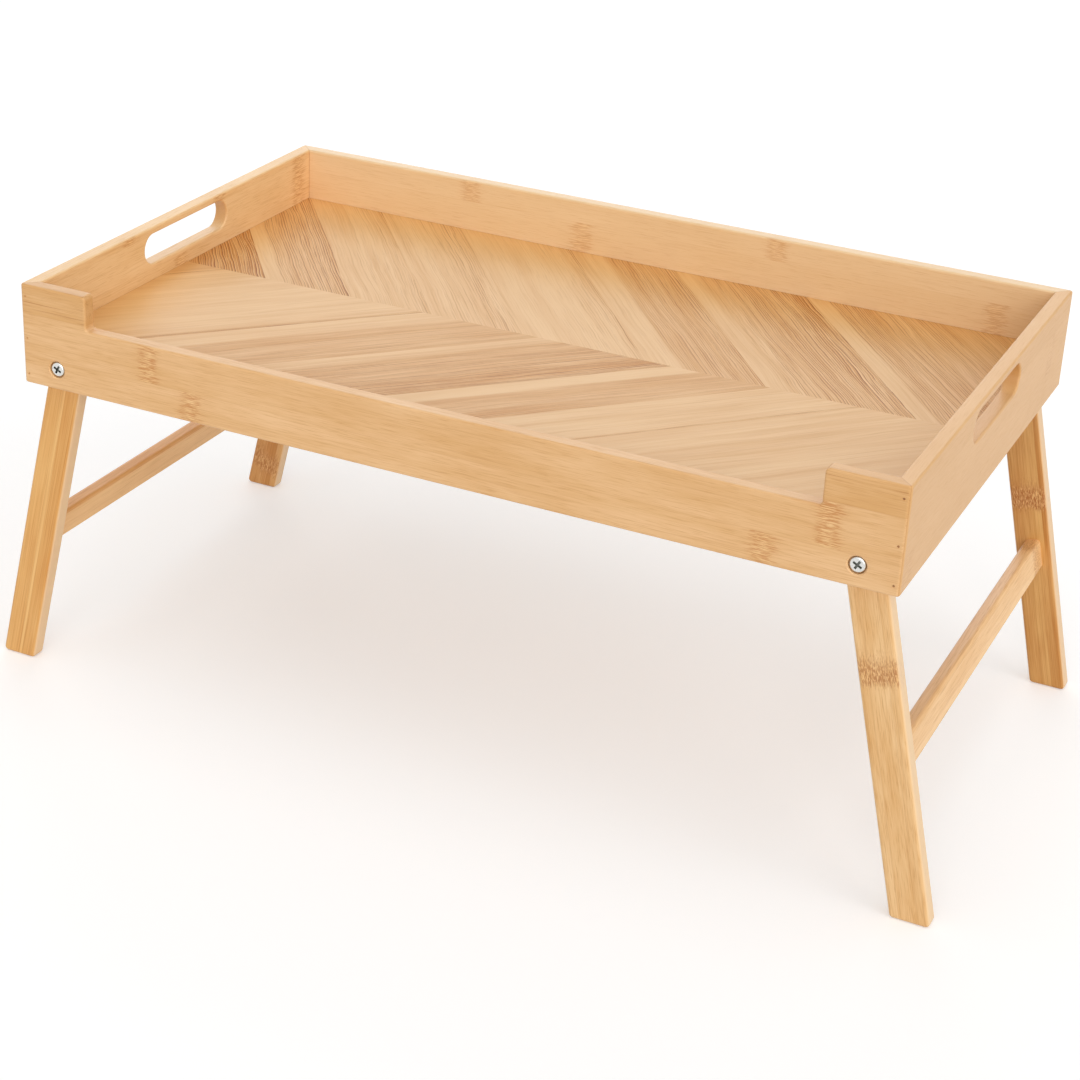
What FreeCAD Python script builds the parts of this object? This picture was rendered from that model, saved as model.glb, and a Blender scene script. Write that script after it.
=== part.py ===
import FreeCAD, Part
import math
import os
import Sketcher

# A folding bed tray table in bamboo. Four mitred rails hold a veneered floor
# panel in a groove. Two leg frames, each of two legs and a stretcher, turn on
# four screws in the long rails and fold flat under the floor.
#
# The tray's length lies along X, its width along Y and +Z is up. The origin is
# on the floor under the middle of the tray. The front is at -Y.

doc = FreeCAD.newDocument("BedTrayTable")
Vector = FreeCAD.Vector
X_AXIS = Vector(1, 0, 0)
Y_AXIS = Vector(0, 1, 0)
Z_AXIS = Vector(0, 0, 1)

# How close two numbers are when they count as the same place, in millimetres.
TOLERANCE = 0.001

# Driving dimensions in millimetres and degrees.
DRIVING = {
    "tray_length": 500.0,
    "tray_width": 300.0,
    "overall_height": 240.0,
    # Rails.
    "rail_height": 57.5,
    "rail_thickness": 8.5,
    "corner_radius": 2.0,
    "arris_radius": 1.2,
    "end_length": 42.0,
    "lowered_height": 38.0,
    "notch_top_radius": 2.5,
    "notch_foot_radius": 2.0,
    "slot_length": 87.0,
    "slot_height": 17.5,
    "slot_web": 4.5,
    # Floor panel.
    "floor_height": 25.5,
    "core_thickness": 2.0,
    "face_veneer": 0.6,
    "back_veneer": 0.4,
    "groove_depth": 4.0,
    "groove_end_gap": 0.3,
    "groove_top_gap": 0.1,
    # The chevron, and how far its saw lines lean back between seam and rail.
    "chevron_length": 490.4,
    "back_run": 113.3,
    "front_run": 140.8,
    # Legs.
    "leg_width": 21.0,
    "leg_thickness": 10.0,
    "leg_edge_radius": 2.0,
    "foot_corner_radius": 2.5,
    "splay_angle": 13.0,
    "pivot_height": 11.5,
    "stop_gap": 0.15,
    # Stretchers and their dowels.
    "stretcher_drop": 113.0,
    "stretcher_depth": 18.0,
    "stretcher_thickness": 9.0,
    "stretcher_edge_radius": 2.5,
    "dowel_diameter": 5.0,
    "dowel_length": 22.0,
    "dowel_spacing": 8.5,
    "dowel_leg_depth": 7.5,
    "glue_gap": 0.05,
    # Pivot screws, washers and threaded inserts.
    "screw_diameter": 5.0,
    "screw_tip_gap": 0.6,
    "screw_tip_bevel": 0.6,
    "head_diameter": 8.6,
    "head_height": 1.9,
    "head_round": 1.2,
    "head_sink": 0.6,
    "cross_width": 5.0,
    "cross_slot": 1.25,
    "cross_depth": 1.2,
    "cross_turn": 62.0,
    "counterbore_diameter": 9.5,
    "counterbore_bevel": 0.6,
    "running_gap": 0.06,
    "face_gap": 0.1,
    "washer_diameter": 12.0,
    "washer_thickness": 1.0,
    "insert_diameter": 8.0,
    "insert_length": 8.5,
    # Brads through the mitres.
    "brad_diameter": 1.2,
    "brad_length": 20.0,
    "brad_inset": 3.3,
    "brad_sink": 0.4,
    "brad_low": 5.6,
    "brad_middle": 26.3,
    "brad_high": 50.8,
}

# The floor's chevron, as laid out on a floor of chevron_length. On another floor
# it is stretched to fit. The cuts are the places where the saw lines between the
# strips meet the seam, from the floor's centre towards +X.
BACK_CUTS = (-187.5, -130.0, -77.5, -17.5, 55.0, 125.0, 209.0, 268.0, 322.0)
FRONT_CUTS = (-217.0, -150.0, -82.5, -10.0, 70.0, 128.0, 179.0, 243.0, 310.0)


class Size:
    """A number together with the sheet formula that gives it."""

    def __init__(self, number, text):
        self.number = float(number)
        self.text = text

    def __add__(self, other):
        other = size_of(other)
        return Size(self.number + other.number, f"({self.text} + {other.text})")

    def __sub__(self, other):
        other = size_of(other)
        return Size(self.number - other.number, f"({self.text} - {other.text})")

    def __mul__(self, other):
        other = size_of(other)
        return Size(self.number * other.number, f"({self.text} * {other.text})")

    def __truediv__(self, other):
        other = size_of(other)
        return Size(self.number / other.number, f"({self.text} / {other.text})")

    def __neg__(self):
        return Size(-self.number, f"(0 - {self.text})")


def size_of(value):
    """Turn a plain number into a Size, and leave a Size as it is."""
    if isinstance(value, Size):
        return value
    return Size(value, f"({float(value)})")


def cosine(angle):
    return Size(math.cos(math.radians(angle.number)), f"cos({angle.text})")


def sine(angle):
    return Size(math.sin(math.radians(angle.number)), f"sin({angle.text})")


def write_sheet():
    """Write the driving dimensions to a sheet and return them by name."""
    sheet = doc.addObject("Spreadsheet::Sheet", "Sizes")
    cells = dict(DRIVING)
    for side, cuts in (("back", BACK_CUTS), ("front", FRONT_CUTS)):
        for number, place in enumerate(cuts, start=1):
            cells[f"{side}_cut_{number}"] = place
    for row, (alias, value) in enumerate(cells.items(), start=1):
        sheet.set(f"A{row}", alias)
        sheet.set(f"B{row}", str(value))
        sheet.setAlias(f"B{row}", alias)
    doc.recompute()
    return {alias: Size(value, f"Sizes.{alias}") for alias, value in cells.items()}


size = write_sheet()

# How far a cut runs on past the wood that it removes.
OVERCUT = size_of(10)

# Places that several pieces share.
ZERO = size_of(0)
half_length = size["tray_length"] / 2
half_width = size["tray_width"] / 2
rail_foot = size["overall_height"] - size["rail_height"]
panel_thickness = size["core_thickness"] + size["face_veneer"] + size["back_veneer"]
panel_foot = size["floor_height"] - panel_thickness
panel_overlap = size["rail_thickness"] - size["groove_depth"] + size["groove_end_gap"]
panel_half_length = half_length - panel_overlap
panel_half_width = half_width - panel_overlap
pivot_level = rail_foot + size["pivot_height"]
screw_radius = size["screw_diameter"] / 2
bore_radius = screw_radius + size["running_gap"]
counterbore_depth = size["head_height"] + size["head_sink"] + size["face_gap"]
half_leg = size["leg_width"] / 2
leg_gap = size["washer_thickness"] + size["face_gap"]
leg_face = half_width - size["rail_thickness"] - leg_gap
screw_reach = size["rail_thickness"] + leg_gap + size["insert_length"] - size["screw_tip_gap"]
dowel_hole_radius = size["dowel_diameter"] / 2 + size["glue_gap"]
brad_hole_radius = size["brad_diameter"] / 2 + size["glue_gap"]
brad_heights = (size["brad_low"], size["brad_middle"], size["brad_high"])

# The open leg leans on the lower inner arris of the side rail, which fixes how
# far the pivot stands in from the end of the tray.
splay_cosine = cosine(size["splay_angle"])
splay_sine = sine(size["splay_angle"])
lean_reach = (
    size["stop_gap"]
    + half_leg
    + size["arris_radius"]
    + (size["pivot_height"] - size["arris_radius"]) * splay_sine
) / splay_cosine
pivot_reach = half_length - size["rail_thickness"] + size["arris_radius"] - lean_reach
leg_drop = pivot_level / splay_cosine
foot_slant = half_leg * splay_sine / splay_cosine

subparts = []


def keep(piece, label):
    """Name a finished piece and list it for export."""
    piece.Label = label
    subparts.append(piece)
    return piece


def bind(piece, **formulas):
    """Bind properties of a piece to formulas. Two underscores stand for a dot."""
    for name, value in formulas.items():
        piece.setExpression(name.replace("__", "."), size_of(value).text)


def place(piece, x=ZERO, y=ZERO, z=ZERO, turn_axis=Z_AXIS, turn=ZERO):
    """Put a piece at a bound position, turned about one axis."""
    angle = size_of(turn)
    rotation = FreeCAD.Rotation(turn_axis, angle.number)
    piece.Placement = FreeCAD.Placement(Vector(0, 0, 0), rotation)
    bind(piece, Placement__Base__x=x, Placement__Base__y=y, Placement__Base__z=z)
    if angle.text != ZERO.text:
        bind(piece, Placement__Rotation__Angle=angle)
    return piece


def new_body(name):
    return doc.addObject("PartDesign::Body", name + "_body")


def sketch_on(body, role, offset=ZERO):
    """Start a sketch on one of the body's own origin planes."""
    plane = next(item for item in body.Origin.OriginFeatures if item.Role == role)
    sketch = body.newObject("Sketcher::SketchObject", "Sketch")
    sketch.AttachmentSupport = [(plane, "")]
    sketch.MapMode = "FlatFace"
    if size_of(offset).text != ZERO.text:
        sketch.setExpression("AttachmentOffset.Base.z", offset.text)
    return sketch


def fix(sketch, kind, *where, value):
    """Add a dimension to a sketch and bind it to its formula."""
    index = sketch.addConstraint(Sketcher.Constraint(kind, *where, value.number))
    sketch.setExpression(f"Constraints[{index}]", value.text)


def fix_point(sketch, index, end, x, y):
    """Hold one end of an edge at a place measured from the sketch's origin."""
    fix(sketch, "DistanceX", -1, 1, index, end, value=x)
    fix(sketch, "DistanceY", -1, 1, index, end, value=y)


def corner(x, y):
    """A sharp corner of an outline."""
    return {"x": size_of(x), "y": size_of(y)}


def arc(x, y, radius, start, stop):
    """An arc of an outline, anticlockwise about x, y from start to stop degrees."""
    return {
        "x": size_of(x),
        "y": size_of(y),
        "radius": size_of(radius),
        "angles": (start, stop),
    }


def arc_point(item, angle):
    turn = math.radians(angle)
    x = item["x"].number + item["radius"].number * math.cos(turn)
    y = item["y"].number + item["radius"].number * math.sin(turn)
    return Vector(x, y, 0)


def fix_arc_end(sketch, item, index, end, angle):
    """Hold an arc's end by the coordinate that changes fastest along it."""
    turn = math.radians(angle)
    if abs(math.sin(turn)) >= abs(math.cos(turn)):
        reach = item["radius"] * Size(math.cos(turn), f"cos({float(angle)})")
        fix(sketch, "DistanceX", -1, 1, index, end, value=item["x"] + reach)
    else:
        reach = item["radius"] * Size(math.sin(turn), f"sin({float(angle)})")
        fix(sketch, "DistanceY", -1, 1, index, end, value=item["y"] + reach)


def draw_outline(sketch, items):
    """Draw a closed outline of corners and arcs, joined by straight edges."""
    ends = []
    for item in items:
        if "radius" not in item:
            point = Vector(item["x"].number, item["y"].number, 0)
            ends.append({"item": item, "first": point, "last": point, "index": None})
            continue
        start, stop = item["angles"]
        centre = Vector(item["x"].number, item["y"].number, 0)
        circle = Part.Circle(centre, Z_AXIS, item["radius"].number)
        curve = Part.ArcOfCircle(circle, math.radians(start), math.radians(stop))
        index = sketch.addGeometry(curve, False)
        fix_point(sketch, index, 3, item["x"], item["y"])
        fix(sketch, "Radius", index, value=item["radius"])
        fix_arc_end(sketch, item, index, 1, start)
        fix_arc_end(sketch, item, index, 2, stop)
        ends.append({
            "item": item,
            "first": arc_point(item, start),
            "last": arc_point(item, stop),
            "index": index,
        })
    lines = []
    for here, there in zip(ends, ends[1:] + ends[:1]):
        lines.append(sketch.addGeometry(Part.LineSegment(here["last"], there["first"]), False))
    for number, line in enumerate(lines):
        here = ends[number]
        there = ends[(number + 1) % len(ends)]
        if here["index"] is None:
            fix_point(sketch, line, 1, here["item"]["x"], here["item"]["y"])
        else:
            join = Sketcher.Constraint("Coincident", line, 1, here["index"], 2)
            sketch.addConstraint(join)
        if there["index"] is None:
            following = lines[(number + 1) % len(lines)]
            join = Sketcher.Constraint("Coincident", line, 2, following, 1)
        else:
            join = Sketcher.Constraint("Coincident", line, 2, there["index"], 1)
        sketch.addConstraint(join)


def draw_box(sketch, left, right, low, high):
    """Draw a rectangle."""
    draw_outline(sketch, [
        corner(left, low),
        corner(right, low),
        corner(right, high),
        corner(left, high),
    ])


def pad(body, sketch, length, reverse=False, both_ways=False):
    feature = body.newObject("PartDesign::Pad", "Pad")
    feature.Profile = sketch
    feature.Reversed = reverse
    feature.Midplane = both_ways
    bind(feature, Length=length)
    doc.recompute()
    return feature


def pocket_through(body, sketch):
    """Cut a sketch through everything, both ways."""
    before = body.Shape.Volume
    feature = body.newObject("PartDesign::Pocket", "Pocket")
    feature.Profile = sketch
    feature.Type = "ThroughAll"
    feature.Midplane = True
    doc.recompute()
    check_cut(body, before)
    return feature


def pocket(body, sketch, depth, reverse=False):
    """Cut a sketch to a depth."""
    before = body.Shape.Volume
    feature = body.newObject("PartDesign::Pocket", "Pocket")
    feature.Profile = sketch
    feature.Reversed = reverse
    bind(feature, Length=depth)
    doc.recompute()
    check_cut(body, before)
    return feature


def bore(body, radius, depth, x=ZERO, y=ZERO, z=ZERO, turn_axis=X_AXIS, turn=-90):
    """Drill a round hole from x, y, z. By default it runs towards +Y."""
    before = body.Shape.Volume if body.Tip else 0
    hole = body.newObject("PartDesign::SubtractiveCylinder", "Bore")
    hole.Placement = FreeCAD.Placement(Vector(0, 0, 0), FreeCAD.Rotation(turn_axis, turn))
    bind(hole, Radius=radius, Height=depth)
    bind(hole, Placement__Base__x=x, Placement__Base__y=y, Placement__Base__z=z)
    doc.recompute()
    check_cut(body, before)
    return hole


def check_cut(body, before):
    """Stop where a cut missed the solid."""
    if not body.Shape.Volume < before:
        raise RuntimeError(f"a cut in {body.Name} removed nothing")


def ease_edges(body, kind, chosen, **sizes):
    """Fillet or chamfer the edges of the body's last feature that chosen() picks."""
    doc.recompute()
    base = body.Tip
    names = []
    for number, edge in enumerate(base.Shape.Edges, start=1):
        if chosen(edge):
            names.append(f"Edge{number}")
    feature = body.newObject("PartDesign::" + kind, kind)
    feature.Base = (base, names)
    bind(feature, **sizes)
    doc.recompute()
    return feature


def round_edges(body, radius, chosen):
    return ease_edges(body, "Fillet", chosen, Radius=radius)


def bevel_edges(body, width, chosen):
    return ease_edges(body, "Chamfer", chosen, Size=width)


def near(value, target):
    return abs(value - size_of(target).number) < TOLERANCE


def runs_along(edge, axis):
    """True for a straight edge that is parallel to an axis."""
    if edge.Curve.TypeId != "Part::GeomLine":
        return False
    return abs(abs(edge.tangentAt(edge.FirstParameter).dot(axis)) - 1) < TOLERANCE


def lies_at(edge, coordinate, target):
    """True where both ends and the middle of an edge share a coordinate."""
    middle = edge.valueAt((edge.FirstParameter + edge.LastParameter) / 2)
    points = [vertex.Point for vertex in edge.Vertexes] + [middle]
    return all(near(getattr(point, coordinate), target) for point in points)


def rail_blank(name, half_run, opened=None):
    """A mitred rail with its outer face at y = 0 and its middle at x = 0.

    opened cuts the rail's own opening before the long edges are eased.
    """
    body = new_body(name)
    radius = size["corner_radius"]
    thickness = size["rail_thickness"]
    height = size["rail_height"]
    plan = sketch_on(body, "XY_Plane")
    draw_outline(plan, [
        arc(radius - half_run, radius, radius, 225, 270),
        arc(half_run - radius, radius, radius, 270, 315),
        corner(half_run - thickness, thickness),
        corner(thickness - half_run, thickness),
    ])
    pad(body, plan, height)
    if opened:
        opened(body)

    def is_arris(edge):
        if lies_at(edge, "z", ZERO) or lies_at(edge, "z", height):
            on_mitre = edge.Curve.TypeId == "Part::GeomLine" and not runs_along(edge, X_AXIS)
            return not on_mitre
        on_face = lies_at(edge, "y", ZERO) or lies_at(edge, "y", thickness)
        middle = edge.valueAt((edge.FirstParameter + edge.LastParameter) / 2)
        at_end = abs(middle.x) > (half_run - thickness).number - TOLERANCE
        return bool(opened) and on_face and not at_end

    round_edges(body, size["arris_radius"], is_arris)
    groove = sketch_on(body, "YZ_Plane")
    draw_box(
        groove,
        thickness - size["groove_depth"],
        thickness + OVERCUT,
        panel_foot,
        size["floor_height"] + size["groove_top_gap"],
    )
    pocket_through(body, groove)
    return body


def cut_notch(body):
    """Lower the middle of the rail, with rounded corners."""
    notch_half = half_length - size["end_length"]
    sketch = sketch_on(body, "XZ_Plane")
    draw_box(sketch, -notch_half, notch_half, size["lowered_height"], size["rail_height"] + OVERCUT)
    pocket_through(body, sketch)

    def is_notch_corner(edge, level):
        return runs_along(edge, Y_AXIS) and lies_at(edge, "z", level)

    round_edges(body, size["notch_top_radius"], lambda edge: is_notch_corner(edge, size["rail_height"]))
    round_edges(body, size["notch_foot_radius"], lambda edge: is_notch_corner(edge, size["lowered_height"]))


def cut_hand_slot(body):
    """Cut the round-ended hand slot near the rail's top."""
    radius = size["slot_height"] / 2
    centre = size["slot_length"] / 2 - radius
    level = size["rail_height"] - size["slot_web"] - radius
    sketch = sketch_on(body, "XZ_Plane")
    draw_outline(sketch, [
        arc(centre, level, radius, -90, 90),
        arc(-centre, level, radius, 90, 270),
    ])
    pocket_through(body, sketch)


def drill_pivots(body):
    """Drill and counterbore the two pivot holes of a long rail, and bevel their rims."""
    radius = size["counterbore_diameter"] / 2
    for reach in (-pivot_reach, pivot_reach):
        bore(body, bore_radius, size["rail_thickness"], x=reach, z=size["pivot_height"])
        bore(body, radius, counterbore_depth, x=reach, z=size["pivot_height"])

    def is_rim(edge):
        is_round = edge.Curve.TypeId == "Part::GeomCircle" and near(edge.Curve.Radius, radius)
        return is_round and lies_at(edge, "y", ZERO)

    bevel_edges(body, size["counterbore_bevel"], is_rim)


def drill_brads_in_long_rail(body):
    """Drill the brad holes, which enter through the long rail's outer face."""
    for side in (-1, 1):
        reach = (half_length - size["brad_inset"]) * side
        for height in brad_heights:
            bore(body, brad_hole_radius, size["rail_thickness"], x=reach, z=height)


def drill_brads_in_short_rail(body):
    """Carry the brad holes on along the side rail from its two mitred ends."""
    depth = size["brad_length"] + size["brad_sink"]
    for height in brad_heights:
        bore(
            body, brad_hole_radius, depth,
            x=-half_width, y=size["brad_inset"], z=height, turn_axis=Y_AXIS, turn=90,
        )
        bore(
            body, brad_hole_radius, depth,
            x=half_width, y=size["brad_inset"], z=height, turn_axis=Y_AXIS, turn=-90,
        )


def make_rails():
    front = rail_blank("front_rail", half_length, cut_notch)
    drill_pivots(front)
    drill_brads_in_long_rail(front)
    keep(place(front, y=-half_width, z=rail_foot), "front_rail")
    back = rail_blank("back_rail", half_length)
    drill_pivots(back)
    drill_brads_in_long_rail(back)
    keep(place(back, y=half_width, z=rail_foot, turn=180), "back_rail")
    for name, end, turn in (("left_rail", -half_length, -90), ("right_rail", half_length, 90)):
        rail = rail_blank(name, half_width, cut_hand_slot)
        drill_brads_in_short_rail(rail)
        keep(place(rail, x=end, z=rail_foot, turn=turn), name)


def make_sheet(name, thickness, level):
    """A flat board that fills the groove all round."""
    board = doc.addObject("Part::Box", name + "_board")
    bind(board, Length=panel_half_length * 2, Width=panel_half_width * 2, Height=thickness)
    place(board, x=-panel_half_length, y=-panel_half_width, z=rail_foot + level)
    keep(board, name)


def make_veneer_strip(name, depth, run, left, right):
    """One strip of face veneer, from the seam at y = 0 to the long rail.

    depth is the half panel's width, signed towards the rail. left and right are
    the saw cuts at the seam, or None at the end of the panel. run is how far a
    cut leans back on its way to the rail.
    """
    body = new_body(name)
    sheet = sketch_on(body, "XY_Plane")
    near_edge, far_edge = (ZERO, depth) if depth.number > 0 else (depth, ZERO)
    draw_box(sheet, -panel_half_length, panel_half_length, near_edge, far_edge)
    pad(body, sheet, size["face_veneer"])
    beyond = size["tray_length"] + run
    for cut, end in ((left, -beyond), (right, beyond)):
        if cut is None:
            continue
        waste = sketch_on(body, "XY_Plane")
        draw_outline(waste, [
            corner(cut, ZERO),
            corner(cut - run, depth),
            corner(end, depth),
            corner(end, ZERO),
        ])
        pocket_through(body, waste)
    level = rail_foot + size["floor_height"] - size["face_veneer"]
    keep(place(body, z=level), name)


def make_panel():
    make_sheet("panel_back_veneer", size["back_veneer"], panel_foot)
    make_sheet("panel_core", size["core_thickness"], panel_foot + size["back_veneer"])
    halves = (
        ("back", BACK_CUTS, panel_half_width),
        ("front", FRONT_CUTS, -panel_half_width),
    )
    stretch = panel_half_length * 2 / size["chevron_length"]
    for side, cuts, depth in halves:
        run = size[f"{side}_run"] * stretch
        marks = [size[f"{side}_cut_{number + 1}"] * stretch for number in range(len(cuts))]
        edges = [None] + marks + [None]
        for number in range(len(edges) - 1):
            name = f"{side}_veneer_strip_{number + 1:02d}"
            make_veneer_strip(name, depth, run, edges[number], edges[number + 1])


def place_on_frame(piece, side, y=ZERO):
    """Place a piece in the frame of an open leg, with its origin on the pivot.

    The leg runs down local -Z. side is -1 for the left leg frame and 1 for the
    right, and local X is across the legs.
    """
    return place(
        piece, x=pivot_reach * side, y=y, z=pivot_level,
        turn_axis=Y_AXIS, turn=-(size["splay_angle"] * side),
    )


def stretcher_places():
    """The heights of the dowels, measured down the leg from the pivot."""
    half_spacing = size["dowel_spacing"] / 2
    return (-(size["stretcher_drop"] - half_spacing), -(size["stretcher_drop"] + half_spacing))


def make_leg(name, side, end):
    """A leg with a round top about its pivot and a foot cut level.

    end is -1 for a leg at the front rail and 1 for one at the back rail.
    """
    body = new_body(name)
    slant = foot_slant * side
    outline = sketch_on(body, "XZ_Plane")
    draw_outline(outline, [
        arc(ZERO, ZERO, half_leg, 0, 180),
        corner(-half_leg, -(leg_drop - slant)),
        corner(half_leg, -(leg_drop + slant)),
    ])
    pad(body, outline, size["leg_thickness"], reverse=end < 0)

    def is_foot_corner(edge):
        below = edge.Vertexes[0].Z < -leg_drop.number / 2
        return runs_along(edge, Y_AXIS) and below

    def is_long_edge(edge):
        inner = size["leg_thickness"] * -end
        return lies_at(edge, "y", ZERO) or lies_at(edge, "y", inner)

    round_edges(body, size["foot_corner_radius"], is_foot_corner)
    round_edges(body, size["leg_edge_radius"], is_long_edge)
    away = -90 if end < 0 else 90
    insert_hole = size["insert_diameter"] / 2 + size["glue_gap"]
    bore(body, insert_hole, size["insert_length"], turn=away)
    inner_face = size["leg_thickness"] * -end
    for level in stretcher_places():
        bore(body, dowel_hole_radius, size["dowel_leg_depth"], y=inner_face, z=level, turn=-away)
    keep(place_on_frame(body, side, y=leg_face * end), name)


def make_stretcher(name, side):
    """The bar between two legs, with dowel holes in its ends."""
    half_span = leg_face - size["leg_thickness"]
    half_depth = size["stretcher_depth"] / 2
    half_thickness = size["stretcher_thickness"] / 2
    body = new_body(name)
    section = sketch_on(body, "XZ_Plane")
    draw_box(
        section, -half_thickness, half_thickness,
        -(size["stretcher_drop"] + half_depth), -(size["stretcher_drop"] - half_depth),
    )
    pad(body, section, half_span * 2, both_ways=True)
    round_edges(body, size["stretcher_edge_radius"], lambda edge: runs_along(edge, Y_AXIS))
    depth = size["dowel_length"] - size["dowel_leg_depth"] + size["glue_gap"]
    for level in stretcher_places():
        bore(body, dowel_hole_radius, depth, y=-half_span, z=level)
        bore(body, dowel_hole_radius, depth, y=half_span, z=level, turn=90)
    keep(place_on_frame(body, side), name)


def make_rod(name, radius, length, x=ZERO, y=ZERO, z=ZERO, turn=-90):
    """A plain round rod along Y."""
    rod = doc.addObject("Part::Cylinder", name)
    bind(rod, Radius=radius, Height=length)
    rod.Placement = FreeCAD.Placement(Vector(0, 0, 0), FreeCAD.Rotation(X_AXIS, turn))
    bind(rod, Placement__Base__x=x, Placement__Base__y=y, Placement__Base__z=z)
    return rod


def group(name, rods):
    """Hold like pieces together as one node of separate solids."""
    bundle = doc.addObject("Part::Compound", name + "_group")
    bundle.Links = rods
    return bundle


def make_dowels(name, side):
    """The four dowels that pin a stretcher to its two legs."""
    reach = leg_face - size["leg_thickness"] + size["dowel_leg_depth"] - size["glue_gap"]
    rods = []
    for level in stretcher_places():
        rods.append(make_rod("Dowel", size["dowel_diameter"] / 2, size["dowel_length"], y=-reach, z=level))
        rods.append(make_rod("Dowel", size["dowel_diameter"] / 2, size["dowel_length"], y=reach, z=level, turn=90))
    keep(place_on_frame(group(name, rods), side), name)


def place_on_pivot(piece, side, end, inward):
    """Place a piece on a pivot's axis, with local +Y pointing into the tray.

    inward is how far its origin lies inside the long rail's outer face.
    """
    y = (half_width - inward) * end
    turn = 0 if end < 0 else 180
    return place(piece, x=pivot_reach * side, y=y, z=pivot_level, turn=turn)


def make_screw(name, side, end):
    """A pan-head screw with a cross recess. Its head's outer face is at y = 0."""
    body = new_body(name)
    head_radius = size["head_diameter"] / 2
    rounding = size["head_round"]
    tip = size["screw_tip_bevel"]
    tail = screw_reach - size["head_sink"]
    profile = sketch_on(body, "XY_Plane")
    draw_outline(profile, [
        corner(ZERO, ZERO),
        arc(head_radius - rounding, rounding, rounding, 270, 360),
        corner(head_radius, size["head_height"]),
        corner(screw_radius, size["head_height"]),
        corner(screw_radius, tail - tip),
        corner(screw_radius - tip, tail),
        corner(ZERO, tail),
    ])
    turned = body.newObject("PartDesign::Revolution", "Revolution")
    turned.Profile = profile
    turned.ReferenceAxis = (profile, ["V_Axis"])
    turned.Angle = 360
    doc.recompute()
    arm = size["cross_width"] / 2
    half_slot = size["cross_slot"] / 2
    recess = sketch_on(body, "XZ_Plane")
    quarter = [(arm, -half_slot), (arm, half_slot), (half_slot, half_slot)]
    corners = []
    for _ in range(4):
        corners += [corner(x, y) for x, y in quarter]
        quarter = [(-y, x) for x, y in quarter]
    draw_outline(recess, corners)
    turn = FreeCAD.Rotation(Z_AXIS, size["cross_turn"].number)
    recess.AttachmentOffset = FreeCAD.Placement(Vector(0, 0, 0), turn)
    recess.setExpression("AttachmentOffset.Rotation.Angle", size["cross_turn"].text)
    pocket(body, recess, size["cross_depth"])
    keep(place_on_pivot(body, side, end, size["head_sink"]), name)


def make_ring(name, outer_radius, length):
    """A ring about the pivot's axis, from y = 0 inwards."""
    body = new_body(name)
    profile = sketch_on(body, "XY_Plane")
    draw_box(profile, bore_radius, outer_radius, ZERO, length)
    turned = body.newObject("PartDesign::Revolution", "Revolution")
    turned.Profile = profile
    turned.ReferenceAxis = (profile, ["V_Axis"])
    turned.Angle = 360
    return body


def make_pivot(name, side, end):
    """The screw, washer and threaded insert of one leg."""
    make_screw(name + "_pivot_screw", side, end)
    washer = make_ring(name + "_pivot_washer", size["washer_diameter"] / 2, size["washer_thickness"])
    inward = size["rail_thickness"] + size["face_gap"]
    keep(place_on_pivot(washer, side, end, inward), name + "_pivot_washer")
    insert = make_ring(name + "_thread_insert", size["insert_diameter"] / 2, size["insert_length"])
    inward = size["rail_thickness"] + leg_gap
    keep(place_on_pivot(insert, side, end, inward), name + "_thread_insert")


def make_leg_frame(name, side):
    for end_name, end in (("front", -1), ("back", 1)):
        make_leg(f"{name}_{end_name}_leg", side, end)
        make_pivot(f"{name}_{end_name}", side, end)
    make_stretcher(f"{name}_stretcher", side)
    make_dowels(f"{name}_stretcher_dowels", side)


def make_brads(name, side, end):
    """The brads shot through one mitre, sunk a little below the face."""
    x = (half_length - size["brad_inset"]) * side
    y = (half_width - size["brad_sink"]) * end
    turn = -90 if end < 0 else 90
    radius = size["brad_diameter"] / 2
    rods = []
    for height in brad_heights:
        rods.append(make_rod("Brad", radius, size["brad_length"], x=x, y=y, z=rail_foot + height, turn=turn))
    keep(group(name, rods), name)


def make_all():
    make_rails()
    make_panel()
    for end_name, end in (("front", -1), ("back", 1)):
        for side_name, side in (("left", -1), ("right", 1)):
            make_brads(f"{end_name}_{side_name}_corner_brads", side, end)
    make_leg_frame("left", -1)
    make_leg_frame("right", 1)
    doc.recompute()


def check_document():
    """Stop before writing anything if an object failed or a shape is bad."""
    for item in doc.Objects:
        if "Invalid" in item.State or "Error" in item.State:
            raise RuntimeError(f"{item.Label} is {item.State}")
    labels = [piece.Label for piece in subparts]
    if len(set(labels)) != len(labels):
        raise RuntimeError("two pieces share a label")
    for piece in subparts:
        shape = piece.Shape
        if shape.isNull() or not shape.isValid() or shape.Volume <= 0:
            raise RuntimeError(f"{piece.Label} has no valid shape")


def export_pieces():
    os.makedirs("parts", exist_ok=True)
    for piece in subparts:
        piece.Shape.exportStep(f"parts/{piece.Label}.step")


make_all()
check_document()
export_pieces()

box = Part.makeCompound([piece.Shape for piece in subparts]).optimalBoundingBox()
print(f"{len(subparts)} pieces, {box.XLength:.2f} x {box.YLength:.2f} x {box.ZLength:.2f} mm")
print(f"lowest point {box.ZMin:.3f}, pivots at x {pivot_reach.number:.3f}, z {pivot_level.number:.3f}")
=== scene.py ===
import math
import bpy
from mathutils import Matrix, Vector

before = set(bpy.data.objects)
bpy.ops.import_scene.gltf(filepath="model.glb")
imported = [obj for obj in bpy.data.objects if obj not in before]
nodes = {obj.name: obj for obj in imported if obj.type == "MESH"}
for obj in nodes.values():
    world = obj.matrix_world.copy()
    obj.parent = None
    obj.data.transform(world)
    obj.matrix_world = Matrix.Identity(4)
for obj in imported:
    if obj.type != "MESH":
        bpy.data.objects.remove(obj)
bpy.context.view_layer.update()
print("frame loaded,", len(nodes), "pieces")

millimetre = 0.001
white = (1, 1, 1, 1)


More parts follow.
